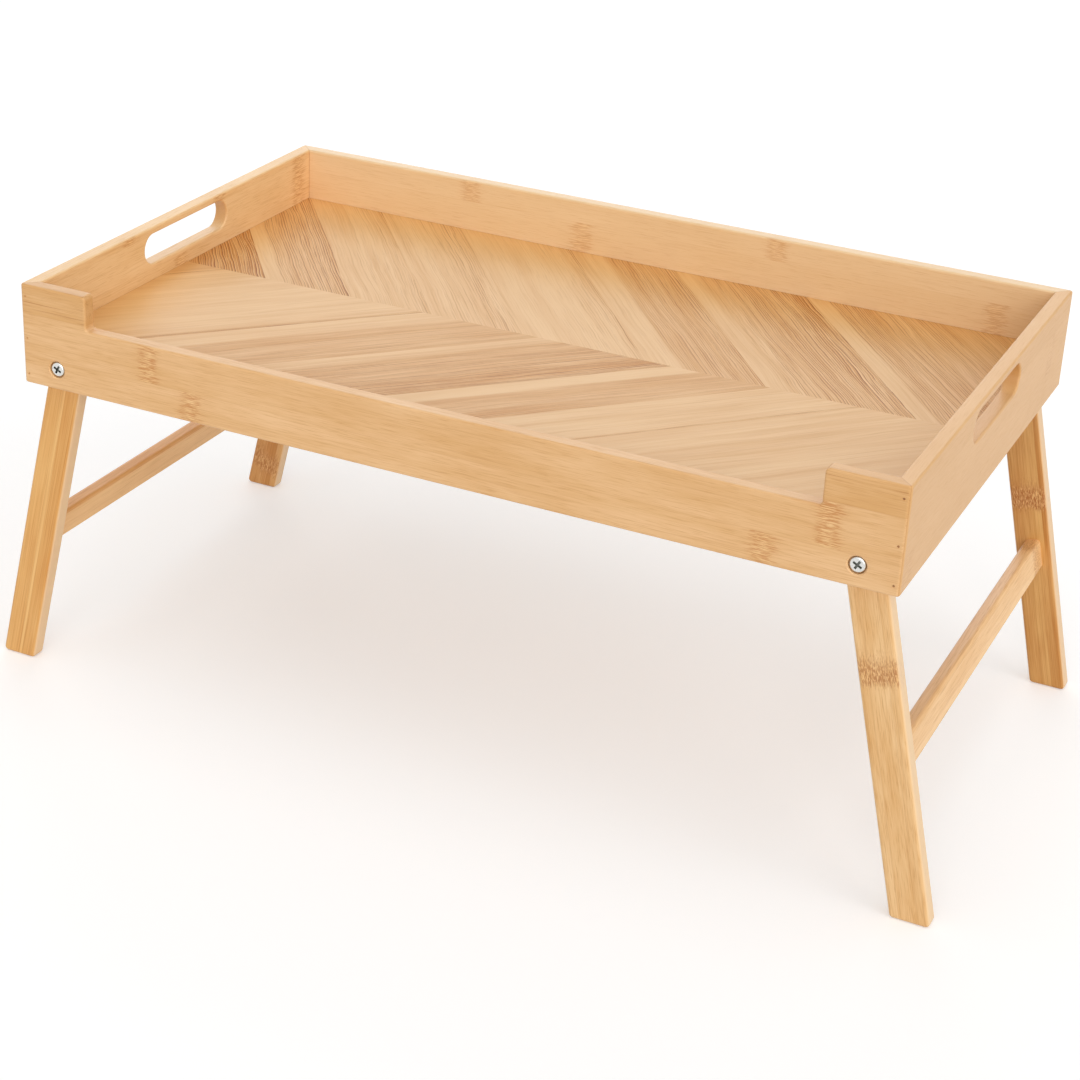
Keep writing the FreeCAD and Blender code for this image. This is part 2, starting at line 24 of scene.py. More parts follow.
def colour(red, green, blue):  # a screen colour, 0-255, as the linear value that sockets want
    linear = []
    for part in (red, green, blue):
        share = part / 255
        linear.append(share / 12.92 if share <= 0.04045 else ((share + 0.055) / 1.055) ** 2.4)
    return (*linear, 1.0)


def addNode(tree, kind, inputs=None, **settings):
    node = tree.nodes.new(kind)
    for name, value in settings.items():
        setattr(node, name, value)
    for socket, value in (inputs or {}).items():
        if isinstance(value, bpy.types.NodeSocket):
            tree.links.new(value, node.inputs[socket])
        else:
            node.inputs[socket].default_value = value
    return node


def maths(tree, operation, first, second=0.0, third=0.0):
    inputs = {0: first, 1: second, 2: third}
    return addNode(tree, "ShaderNodeMath", inputs, operation=operation).outputs[0]


def smoothStep(tree, value, low, high):  # 0 at low and 1 at high, whichever of them is larger
    inputs = {"Value": value, "From Min": low, "From Max": high}
    return addNode(tree, "ShaderNodeMapRange", inputs, interpolation_type="SMOOTHSTEP").outputs[0]


def mixColour(tree, share, first, second, blend="MIX"):
    inputs = {0: share, 6: first, 7: second}
    return addNode(tree, "ShaderNodeMix", inputs, data_type="RGBA", blend_type=blend).outputs[2]


def coordinates(tree, kind):
    return addNode(tree, "ShaderNodeTexCoord").outputs[kind]


def combine(tree, x, y, z):
    return addNode(tree, "ShaderNodeCombineXYZ", {0: x, 1: y, 2: z}).outputs[0]


def separate(tree, vector):
    return addNode(tree, "ShaderNodeSeparateXYZ", {0: vector}).outputs


def streaky(tree, place, noise, seed):
    # noise drawn out along the grain: its pace is how many changes per mm along and across
    along, across, through = place
    alongPace, acrossPace = noise["pace"]
    lookup = combine(
        tree,
        maths(tree, "MULTIPLY", along, alongPace),
        maths(tree, "MULTIPLY", across, acrossPace),
        maths(tree, "MULTIPLY_ADD", through, acrossPace, maths(tree, "ADD", seed, noise["seed"])),
    )
    inputs = {"Vector": lookup, "Scale": 1.0, "Detail": noise["detail"], "Roughness": noise["roughness"]}
    return addNode(tree, "ShaderNodeTexNoise", inputs).outputs[0]


def swung(tree, noise, weight, base):  # base moved up and down by the noise's swing about its middle
    return maths(tree, "MULTIPLY_ADD", maths(tree, "SUBTRACT", noise, 0.5), weight, base)


def newGroup(name, inputs, outputs):
    group = bpy.data.node_groups.new(name, "ShaderNodeTree")
    for label, kind, value in inputs:
        socket = group.interface.new_socket(name=label, in_out="INPUT", socket_type="NodeSocket" + kind)
        socket.default_value = value
    for label, kind in outputs:
        group.interface.new_socket(name=label, in_out="OUTPUT", socket_type="NodeSocket" + kind)
    entry = group.nodes.new("NodeGroupInput").outputs
    leave = group.nodes.new("NodeGroupOutput").inputs
    return group, entry, leave


# laminated bamboo in millimetres. A step is the pair of values between which a mark comes up from
# nothing to full; a sway is how far a noise moves the tone between a board's two colours
bambooPattern = {
    "fibres": {"pace": (0.085, 2.4), "seed": 0.0, "detail": 2.0, "roughness": 0.6},
    "strands": {"pace": (0.014, 0.75), "seed": 5.1, "detail": 3.0, "roughness": 0.6},
    "clouds": {"pace": (0.016, 0.07), "seed": 9.4, "detail": 2.0, "roughness": 0.5},
    "ragged": {"pace": (1.1, 1.0), "seed": 0.0, "detail": 2.0, "roughness": 0.6},
    "crackle": {"pace": (1.0, 2.5), "seed": 2.2, "detail": 2.0, "roughness": 0.6},
    "boardSeed": 3.7,
    "slatSeed": 19.3,
    "fibreSway": 1.3,
    "strandSway": 0.6,
    "cloudSway": 1.5,
    "dashStep": (0.56, 0.68),
    "dashShare": 0.3,
    "strandStep": (0.60, 0.66),
    "glueStep": (0.4, 0.1),
    "glueShare": 0.14,
    "nodeReach": (13.0, 1.0),
    "nodeNear": (7.5, 3.5),
    "nodeMiddle": (4.0, 1.5),
    "strokeStep": (0.60, 0.68),
    "strokeCrowding": 0.17,
    "strokeShare": 0.72,
    "stainShare": 0.2,
    "strawStep": (0.50, 0.43),
    "strawShare": 0.4,
    "coreCrowding": -0.05,
    "coreStain": -0.1,
    "coreStraw": 0.25,
    "roughness": 0.34,
    "fibreRoughness": 0.16,
}


def makeBambooGrain():
    # X runs along the grain, Y across the slats, Z through the board
    group, entry, leave = newGroup("bambooGrain", [
        ("Vector", "Vector", (0, 0, 0)),
        ("Pale", "Color", white),
        ("Deep", "Color", white),
        ("Dark", "Color", white),
        ("Burnt", "Color", white),
        ("Straw", "Color", white),
        ("Slat Joints", "Vector", (0, 0, 0)),
        ("Slat Tones", "Vector", (0.5, 0.5, 0.5)),
        ("Node Places", "Vector", (0, 0, 0)),
        ("Node Spacings", "Vector", (300, 300, 300)),
        ("Node Strength", "Float", 1.0),
        ("Node Core", "Float", 0.0),
        ("Node Lean", "Float", 0.0),
        ("Raggedness", "Float", 20.0),
        ("Stroke Pace", "Float", 0.12),
        ("Contrast", "Float", 1.0),
        ("Fibre Length", "Float", 1.0),
        ("Slat Lines", "Vector", (0.2, 0.2, 0.2)),
        ("Seed", "Float", 0.0),
    ], [("Color", "Color"), ("Roughness", "Float"), ("Height", "Float")])
    along, across, through = separate(group, entry["Vector"])
    firstJoint, secondJoint, _ = separate(group, entry["Slat Joints"])
    onSecond = maths(group, "GREATER_THAN", across, firstJoint)
    onThird = maths(group, "GREATER_THAN", across, secondJoint)

    def forSlat(vector):  # the slat's own number out of three
        first, second, third = separate(group, vector)
        stepUp = maths(group, "SUBTRACT", second, first)
        lastStep = maths(group, "SUBTRACT", third, second)
        lower = maths(group, "MULTIPLY_ADD", onSecond, stepUp, first)
        return maths(group, "MULTIPLY_ADD", onThird, lastStep, lower)

    nodePlace = forSlat(entry["Node Places"])
    nodeSpacing = forSlat(entry["Node Spacings"])
    slatTone = forSlat(entry["Slat Tones"])
    slatLines = forSlat(entry["Slat Lines"])
    slat = maths(group, "ADD", onSecond, onThird)
    look = bambooPattern
    slatSeed = maths(group, "MULTIPLY", slat, look["slatSeed"])
    slatSeed = maths(group, "MULTIPLY_ADD", entry["Seed"], look["boardSeed"], slatSeed)
    place = (along, across, through)
    drawn = (maths(group, "DIVIDE", along, entry["Fibre Length"]), across, through)
    fibres = streaky(group, drawn, look["fibres"], slatSeed)
    strands = streaky(group, drawn, look["strands"], slatSeed)
    clouds = streaky(group, place, look["clouds"], slatSeed)
    sway = swung(group, fibres, look["fibreSway"], 0.0)
    sway = swung(group, strands, look["strandSway"], sway)
    sway = swung(group, clouds, look["cloudSway"], sway)
    tone = maths(group, "MULTIPLY_ADD", sway, entry["Contrast"], slatTone)
    base = mixColour(group, tone, entry["Pale"], entry["Deep"])

    dashes = smoothStep(group, fibres, *look["dashStep"])
    dashes = maths(group, "MULTIPLY", dashes, look["dashShare"])
    lineMask = maths(group, "MULTIPLY", smoothStep(group, strands, *look["strandStep"]), slatLines)
    jointGap = maths(
        group, "MINIMUM",
        maths(group, "ABSOLUTE", maths(group, "SUBTRACT", across, firstJoint)),
        maths(group, "ABSOLUTE", maths(group, "SUBTRACT", across, secondJoint)),
    )
    glueLine = smoothStep(group, jointGap, *look["glueStep"])
    glueLine = maths(group, "MULTIPLY", glueLine, look["glueShare"])
    marks = maths(group, "MAXIMUM", maths(group, "MAXIMUM", dashes, lineMask), glueLine)
    marks = maths(group, "MULTIPLY", marks, entry["Contrast"])
    base = mixColour(group, marks, base, entry["Dark"])

    # the bands where the cane's nodes were: fine strokes along the grain, crowded at the band and
    # thinning out to both sides, round a straw middle (Node Core 0) or right through (Node Core 1);
    # a negative Node Lean makes them thin out more slowly towards the grain's far end
    ragged = streaky(group, (across, slat, slat), look["ragged"], slatSeed)
    shifted = maths(group, "SUBTRACT", along, nodePlace)
    shifted = swung(group, ragged, entry["Raggedness"], shifted)
    turns = maths(group, "DIVIDE", shifted, nodeSpacing)
    fraction = maths(group, "SUBTRACT", turns, maths(group, "ROUND", turns))
    offset = maths(group, "MULTIPLY", fraction, nodeSpacing)
    lopsided = maths(group, "MULTIPLY_ADD", maths(group, "SIGN", offset), entry["Node Lean"], 1.0)
    distance = maths(group, "MULTIPLY", maths(group, "ABSOLUTE", offset), lopsided)
    reach = smoothStep(group, distance, *look["nodeReach"])
    near = smoothStep(group, distance, *look["nodeNear"])
    middle = smoothStep(group, distance, *look["nodeMiddle"])
    openCore = maths(group, "MULTIPLY", middle, maths(group, "SUBTRACT", 1.0, entry["Node Core"]))
    struck = (maths(group, "MULTIPLY", along, entry["Stroke Pace"]), across, through)
    crackle = streaky(group, struck, look["crackle"], slatSeed)
    crowded = maths(group, "MULTIPLY_ADD", reach, look["strokeCrowding"], crackle)
    crowded = maths(group, "MULTIPLY_ADD", openCore, look["coreCrowding"], crowded)
    strokes = maths(group, "MULTIPLY", smoothStep(group, crowded, *look["strokeStep"]), reach)
    stain = maths(group, "MULTIPLY", near, look["stainShare"])
    stain = maths(group, "MULTIPLY_ADD", openCore, look["coreStain"], stain)
    burntShare = maths(group, "MULTIPLY_ADD", strokes, look["strokeShare"], stain)
    burntShare = maths(group, "MULTIPLY", burntShare, entry["Node Strength"])
    painted = mixColour(group, burntShare, base, entry["Burnt"])
    strawShare = maths(group, "MULTIPLY_ADD", openCore, look["coreStraw"], look["strawShare"])
    straw = maths(group, "MULTIPLY", near, smoothStep(group, crackle, *look["strawStep"]))
    straw = maths(group, "MULTIPLY", straw, strawShare)
    straw = maths(group, "MULTIPLY", straw, entry["Node Strength"])
    painted = mixColour(group, straw, painted, entry["Straw"])
    roughness = maths(group, "MULTIPLY_ADD", fibres, look["fibreRoughness"], look["roughness"])
    group.links.new(painted, leave["Color"])
    group.links.new(roughness, leave["Roughness"])
    group.links.new(maths(group, "SUBTRACT", fibres, marks), leave["Height"])
    return group


def makeMitreLine():
    # the hair line where two mitred rails meet, on the diagonal of each corner
    group, entry, leave = newGroup("mitreLine", [
        ("Vector", "Vector", (0, 0, 0)),
        ("Half Length", "Float", 0.25),
        ("Half Width", "Float", 0.15),
        ("Line Edge", "Float", 0.00055),
        ("Line Core", "Float", 0.00015),
    ], [("Mask", "Float")])
    x, y, _ = separate(group, entry["Vector"])
    fromEnd = maths(group, "SUBTRACT", entry["Half Length"], maths(group, "ABSOLUTE", x))
    fromSide = maths(group, "SUBTRACT", entry["Half Width"], maths(group, "ABSOLUTE", y))
    offLine = maths(group, "ABSOLUTE", maths(group, "SUBTRACT", fromEnd, fromSide))
    mask = smoothStep(group, offLine, entry["Line Edge"], entry["Line Core"])
    group.links.new(mask, leave["Mask"])
    return group


def makeStripPlace():
    # where a point lies in a leaning veneer strip, in millimetres from its left saw line
    group, entry, leave = newGroup("stripPlace", [
        ("Vector", "Vector", (0, 0, 0)),
        ("Lean", "Float", 1.0),
        ("Width", "Float", 60.0),
    ], [("Across", "Float"), ("Along", "Float"), ("Share", "Float")])
    x, y, _ = separate(group, entry["Vector"])
    depth = maths(group, "ABSOLUTE", y)
    across = maths(group, "MULTIPLY_ADD", depth, entry["Lean"], x)
    slope = maths(group, "SQRT", maths(group, "MULTIPLY_ADD", entry["Lean"], entry["Lean"], 1.0))
    group.links.new(across, leave["Across"])
    group.links.new(maths(group, "MULTIPLY", depth, slope), leave["Along"])
    group.links.new(maths(group, "DIVIDE", across, entry["Width"]), leave["Share"])
    return group


# straight-grained veneer in millimetres, with steps and sways as in the bamboo
veneerPattern = {
    "sway": {"pace": (0.012, 0.02), "seed": 0.0, "detail": 1.0, "roughness": 0.5},
    "waver": {"pace": (0.06, 0.05), "seed": 3.3, "detail": 1.0, "roughness": 0.5},
    "patches": {"pace": (0.014, 0.07), "seed": 1.7, "detail": 1.0, "roughness": 0.5},
    "bands": {"pace": (0.005, 0.13), "seed": 4.2, "detail": 2.0, "roughness": 0.5},
    "lines": {"pace": (0.010, 0.60), "seed": 8.8, "detail": 3.0, "roughness": 0.65},
    "hairs": {"pace": (0.04, 1.5), "seed": 6.1, "detail": 2.0, "roughness": 0.5},
    "stripSeed": 7.3,
    "swayReach": 7.0,
    "waverReach": 1.8,
    "bandSway": 0.55,
    "patchSway": 0.5,
    "lineSway": 0.5,
    "bandShift": 2.2,
    "lineShift": 0.6,
    "latewood": (0.45, 0.92),
    "earlywood": (0.34, 0.08),
    "lineCrowding": 0.16,
    "lineStep": (0.50, 0.68),
    "ringShare": 0.95,
    "leastRing": 0.03,
    "darkHair": (0.57, 0.66),
    "darkHairShare": 0.42,
    "paleHair": (0.44, 0.35),
    "paleHairShare": 0.6,
    "streakHairs": 0.8,
    "leastHairs": 0.2,
    "lightShare": 0.8,
    "roughness": 0.42,
    "lineRoughness": 0.18,
}


def makeVeneerGrain():
    # Tone goes from cream to warm tan, Streaks sets how strongly the growth rings show: each is
    # a line that darkens slowly and ends sharply
    group, entry, leave = newGroup("veneerGrain", [
        ("Across", "Float", 0.0),
        ("Along", "Float", 0.0),
        ("Tone", "Float", 0.3),
        ("Streaks", "Float", 0.3),
        ("Ring Pitch", "Float", 2.6),
        ("Seed", "Float", 0.0),
        ("Pale", "Color", white),
        ("Warm", "Color", white),
        ("Dark", "Color", white),
        ("Light", "Color", white),
    ], [("Color", "Color"), ("Roughness", "Float"), ("Height", "Float")])
    look = veneerPattern
    seed = maths(group, "MULTIPLY", entry["Seed"], look["stripSeed"])
    straight = (entry["Along"], entry["Across"], 0.0)
    sway = streaky(group, straight, look["sway"], seed)
    bent = maths(group, "MULTIPLY_ADD", sway, look["swayReach"], entry["Across"])
    waver = streaky(group, straight, look["waver"], seed)
    bent = maths(group, "MULTIPLY_ADD", waver, look["waverReach"], bent)
    place = (entry["Along"], bent, 0.0)
    patches = streaky(group, place, look["patches"], seed)
    bands = streaky(group, place, look["bands"], seed)
    lines = streaky(group, place, look["lines"], seed)
    hairs = streaky(group, place, look["hairs"], seed)
    bandSway = maths(group, "MULTIPLY_ADD", entry["Streaks"], look["bandSway"], look["bandSway"])
    tone = swung(group, bands, bandSway, entry["Tone"])
    tone = swung(group, patches, look["patchSway"], tone)
    tone = swung(group, lines, look["lineSway"], tone)
    base = mixColour(group, tone, entry["Pale"], entry["Warm"])

    rings = maths(group, "DIVIDE", bent, entry["Ring Pitch"])
    rings = maths(group, "MULTIPLY_ADD", bands, look["bandShift"], rings)
    growth = maths(group, "FRACT", maths(group, "MULTIPLY_ADD", lines, look["lineShift"], rings))
    latewood = smoothStep(group, growth, *look["latewood"])
    crowded = maths(group, "MULTIPLY_ADD", entry["Streaks"], look["lineCrowding"], lines)
    weight = smoothStep(group, crowded, *look["lineStep"])
    depth = maths(group, "MULTIPLY_ADD", entry["Streaks"], look["ringShare"], look["leastRing"])
    marks = maths(group, "MULTIPLY", maths(group, "MULTIPLY", latewood, weight), depth)
    hairShare = maths(group, "MULTIPLY_ADD", entry["Streaks"], look["streakHairs"], look["leastHairs"])
    darkHair = smoothStep(group, hairs, *look["darkHair"])
    darkHair = maths(group, "MULTIPLY", darkHair, look["darkHairShare"])
    marks = maths(group, "MAXIMUM", marks, maths(group, "MULTIPLY", darkHair, hairShare))
    painted = mixColour(group, marks, base, entry["Dark"])
    bright = maths(group, "MULTIPLY", smoothStep(group, growth, *look["earlywood"]), entry["Streaks"])
    paleHair = maths(group, "MULTIPLY", smoothStep(group, hairs, *look["paleHair"]), hairShare)
    bright = maths(group, "MAXIMUM", bright, maths(group, "MULTIPLY", paleHair, look["paleHairShare"]))
    bright = maths(group, "MULTIPLY", bright, look["lightShare"])
    painted = mixColour(group, bright, painted, entry["Light"])
    roughness = maths(group, "MULTIPLY_ADD", lines, look["lineRoughness"], look["roughness"])
    group.links.new(painted, leave["Color"])
    group.links.new(roughness, leave["Roughness"])
    group.links.new(maths(group, "SUBTRACT", lines, marks), leave["Height"])
    return group


bambooGrain = makeBambooGrain()
mitreLine = makeMitreLine()
stripPlace = makeStripPlace()
veneerGrain = makeVeneerGrain()
print("shared effects made")


def newMaterial(name):
    material = bpy.data.materials.new(name)
    material.use_nodes = True
    tree = material.node_tree
    return material, tree, tree.nodes["Principled BSDF"]


def placeGroup(tree, group, inputs):
    return addNode(tree, "ShaderNodeGroup", inputs, node_tree=group).outputs


def boardPlace(tree, order, origin=(0, 0, 0), turn=0.0):
    # object coordinates in millimetres, turned about Y and put in the order along, across, through
    mapping = addNode(tree, "ShaderNodeMapping", {
        "Vector": coordinates(tree, "Object"),
        "Location": origin,
        "Rotation": (0, turn, 0),
        "Scale": (millimetre, millimetre, millimetre),
    }, vector_type="TEXTURE")
    parts = dict(zip("xyz", separate(tree, mapping.outputs[0])))
    return combine(tree, *[parts[axis] for axis in order])


def facingShare(tree, axis, step):  # 1 on faces square to the object's axis, 0 on the others
    facing = separate(tree, coordinates(tree, "Normal"))[axis]
    return smoothStep(tree, maths(tree, "ABSOLUTE", facing), *step)


def bump(tree, height, depth, strength=0.35):
    inputs = {"Strength": strength, "Distance": depth, "Height": height}
    return addNode(tree, "ShaderNodeBump", inputs).outputs[0]


def finishWith(tree, shader, outputs, depth, painted=None):
    tree.links.new(painted or outputs["Color"], shader.inputs["Base Color"])
    tree.links.new(outputs["Roughness"], shader.inputs["Roughness"])
    tree.links.new(bump(tree, outputs["Height"], depth), shader.inputs["Normal"])


def dress(name, material):
    slots = nodes[name].data.materials
    slots.clear()
    slots.append(material)
    for face in nodes[name].data.polygons:
        face.material_index = 0


# the rails, in millimetres, with heights up from the floor under the feet. "order" names the axes
# along, across and through a board. Its three slats meet at the first two "joints"; "tones" (0 is
# pale, 1 is deep), "nodes" (where a node band lies along the grain), "spacings" (how far on the
# band comes again) and "lines" (how strongly dark strands show) have one number for each slat.
# "strength" is for the bands, "contrast" for all the grain, "fibre" draws the grain out, and
# "endShare" is how far faces across the grain take on the end-grain colour
rails = {
    "halfLength": 0.25,
    "halfWidth": 0.15,
    "mitreShare": 0.4,
    "topFacing": (0.4, 0.9),
    "endFacing": (0.35, 0.95),
    "dark": colour(178, 116, 56),
    "burnt": colour(186, 112, 38),
    "straw": colour(243, 206, 146),
    "nodeCore": 0.0,
    "nodeLean": 0.0,
    "raggedness": 18.0,
    "strokePace": 0.13,
    "topFade": 0.85,
    "endGrain": colour(196, 138, 70),
    "grainDepth": 0.00012,
    "boards": {
        "front_rail": {
            "pale": colour(231, 187, 136), "deep": colour(212, 161, 100),
            "order": "xzy", "joints": (199.5, 223.5, 0), "tones": (0.42, 0.50, 0.86),
            "nodes": (-141.8, -168.7, 30), "spacings": (322.7, 380.9, 560),
            "strength": 0.75, "contrast": 0.9, "lines": (0.14, 0.16, 0.75), "fibre": 1.2, "seed": 1,
            "endShare": 0.08,
        },
        "back_rail": {
            "pale": colour(235, 203, 159), "deep": colour(225, 188, 138),
            "order": "xzy", "joints": (206, 226.5, 0), "tones": (0.4, 0.55, 0.45),
            "nodes": (20, -49.2, -125.3), "spacings": (300, 259.6, 202.1),
            "strength": 0.5, "contrast": 0.55, "lines": (0.1, 0.1, 0.1), "fibre": 1.0, "seed": 2,
            "endShare": 0.08,
        },
        "left_rail": {
            "pale": colour(240, 203, 153), "deep": colour(225, 180, 120),
            "order": "yzx", "joints": (215, 235.5, 0), "tones": (0.5, 0.4, 0.55),
            "nodes": (-7, 128.5, 35), "spacings": (135.5, 290, 93.5),
            "strength": 0.7, "contrast": 0.8, "lines": (0.15, 0.25, 0.2), "fibre": 1.0, "seed": 3,
            "endShare": 0.55,
        },
        "right_rail": {
            "pale": colour(228, 181, 125), "deep": colour(213, 162, 99),
            "order": "yzx", "joints": (202, 226, 0), "tones": (0.5, 0.45, 0.55),
            "nodes": (-141, 112, 20), "spacings": (310, 340, 400),
            "strength": 0.3, "contrast": 0.45, "lines": (0.08, 0.08, 0.08), "fibre": 1.0, "seed": 4,
            "endShare": 0.55,
        },
    },
}


def placeBamboo(tree, family, board, vector, spacings, strength):
    return placeGroup(tree, bambooGrain, {
        "Vector": vector,
        "Pale": board["pale"],
        "Deep": board["deep"],
        "Dark": family["dark"],
        "Burnt": family["burnt"],
        "Straw": family["straw"],
        "Node Core": family["nodeCore"],
        "Node Lean": family["nodeLean"],
        "Raggedness": family["raggedness"],
        "Stroke Pace": family["strokePace"],
        "Slat Joints": board["joints"],
        "Slat Tones": board["tones"],
        "Node Places": board["nodes"],
        "Node Spacings": spacings,
        "Node Strength": strength,
        "Contrast": board["contrast"],
        "Fibre Length": board["fibre"],
        "Slat Lines": board["lines"],
        "Seed": board["seed"],
    })


def makeRails():
    for name, board in rails["boards"].items():
        material, tree, shader = newMaterial("bamboo_" + name)
        vector = boardPlace(tree, board["order"])
        onTop = facingShare(tree, 2, rails["topFacing"])
        fade = -rails["topFade"] * board["strength"]
        strength = maths(tree, "MULTIPLY_ADD", onTop, fade, board["strength"])
        grain = placeBamboo(tree, rails, board, vector, board["spacings"], strength)
        mitre = placeGroup(tree, mitreLine, {
            "Vector": coordinates(tree, "Object"),
            "Half Length": rails["halfLength"],
            "Half Width": rails["halfWidth"],
        })
        share = maths(tree, "MULTIPLY", mitre["Mask"], rails["mitreShare"])
        painted = mixColour(tree, share, grain["Color"], rails["dark"])
        alongAxis = "xyz".index(board["order"][0])
        onEnd = facingShare(tree, alongAxis, rails["endFacing"])
        onEnd = maths(tree, "MULTIPLY", onEnd, board["endShare"])
        painted = mixColour(tree, onEnd, painted, rails["endGrain"])
        finishWith(tree, shader, grain, rails["grainDepth"], painted)
        dress(name, material)


makeRails()
print("rails done")

# the leg frames, with the same words as the rails. Places are in millimetres from the pivot's axis,
# along the leg's grain (up is positive) or along the bar's
legs = {
    "pivot": (0.22816, 0.194),
    "splay": 13.0,
    "grainDepth": 0.00012,
    "dark": colour(164, 100, 40),
    "burnt": colour(170, 102, 42),
    "straw": colour(240, 196, 132),
    "nodeCore": 0.8,
    "nodeLean": -0.4,
    "raggedness": 10.0,
    "strokePace": 0.34,
    # the painted highlight on the legs' narrow sides: its colour, its share and the facing where it
    # comes in
    "sideHighlight": colour(243, 210, 166),
    "sideHighlightShare": 0.75,
    "sideHighlightFacing": (0.5, 0.9),
    "boards": {
        "left_front_leg": {
            "pale": colour(233, 184, 114), "deep": colour(206, 142, 66),
            "joints": (0.4, 2.0, 0), "tones": (0.45, 0.2, 0.68), "nodes": (105, 105, 105),
            "strength": 0.9, "contrast": 0.8, "lines": (0.4, 0.0, 0.4), "fibre": 3.5, "seed": 11,
        },
        "right_front_leg": {
            "pale": colour(237, 198, 145), "deep": colour(212, 157, 89),
            "joints": (-5.0, 5.0, 0), "tones": (0.35, 0.45, 0.55), "nodes": (-63, -63, -63),
            "strength": 0.85, "contrast": 0.9, "lines": (0.2, 0.2, 0.2), "fibre": 1.0, "seed": 12,
        },
        "left_back_leg": {
            "pale": colour(224, 173, 110), "deep": colour(190, 125, 56),
            "joints": (-3.0, 6.0, 0), "tones": (0.5, 0.7, 0.5), "nodes": (-181, -184, -184),
            "strength": 0.85, "contrast": 0.9, "lines": (0.2, 0.2, 0.0), "fibre": 2.0, "seed": 13,
        },
        "right_back_leg": {
            "pale": colour(222, 173, 104), "deep": colour(184, 118, 44),
            "joints": (3.0, 7.0, 0), "tones": (0.5, 0.55, 0.72), "nodes": (-81, -81, -81),
            "strength": 1.15, "contrast": 0.9, "lines": (0.2, 0.3, 0.0), "fibre": 1.8, "seed": 14,
        },
    },
    "bars": {
        # its third slat, above -105.5 mm, takes in the bar's top face, which is painted deep as painted
        # shade from the tray above
        "left_stretcher": {
            "pale": colour(250, 202, 139), "deep": colour(225, 165, 97),
            "joints": (-116.0, -105.5, 0), "tones": (0.2, 0.25, 0.85), "nodes": (122, 122, 122),
            "strength": 0.6, "contrast": 0.55, "lines": (0.1, 0.1, 0.1), "fibre": 1.5, "seed": 15,
        },
        "right_stretcher": {
            "pale": colour(248, 205, 150), "deep": colour(230, 177, 112),
            "joints": (-116.0, -105.5, 0), "tones": (0.4, 0.5, 0.5), "nodes": (118, 118, 118),
            "strength": 0.55, "contrast": 0.8, "lines": (0.25, 0.25, 0.25), "fibre": 1.2, "seed": 16,
        },
    },
    "nodeSpacing": (420, 420, 420),
}


def paintSideHighlight(tree, painted):  # a leg's narrow sides are painted paler: a painted highlight for the light falling on them
    share = maths(tree, "MULTIPLY", facingShare(tree, 0, legs["sideHighlightFacing"]), legs["sideHighlightShare"])
    return mixColour(tree, share, painted, legs["sideHighlight"])


def makeLegFrames():
    for family, order in (("boards", "zxy"), ("bars", "yzx")):
        for name, board in legs[family].items():
            side = -1 if name.startswith("left") else 1
            origin = (legs["pivot"][0] * side, 0, legs["pivot"][1])
            material, tree, shader = newMaterial("bamboo_" + name)
            vector = boardPlace(tree, order, origin, -math.radians(legs["splay"]) * side)
            grain = placeBamboo(tree, legs, board, vector, legs["nodeSpacing"], board["strength"])
            painted = grain["Color"]
            # only the legs get the painted highlight on their narrow sides
            if family == "boards":
                painted = paintSideHighlight(tree, painted)
            finishWith(tree, shader, grain, legs["grainDepth"], painted)
            dress(name, material)


makeLegFrames()
print("leg frames done")
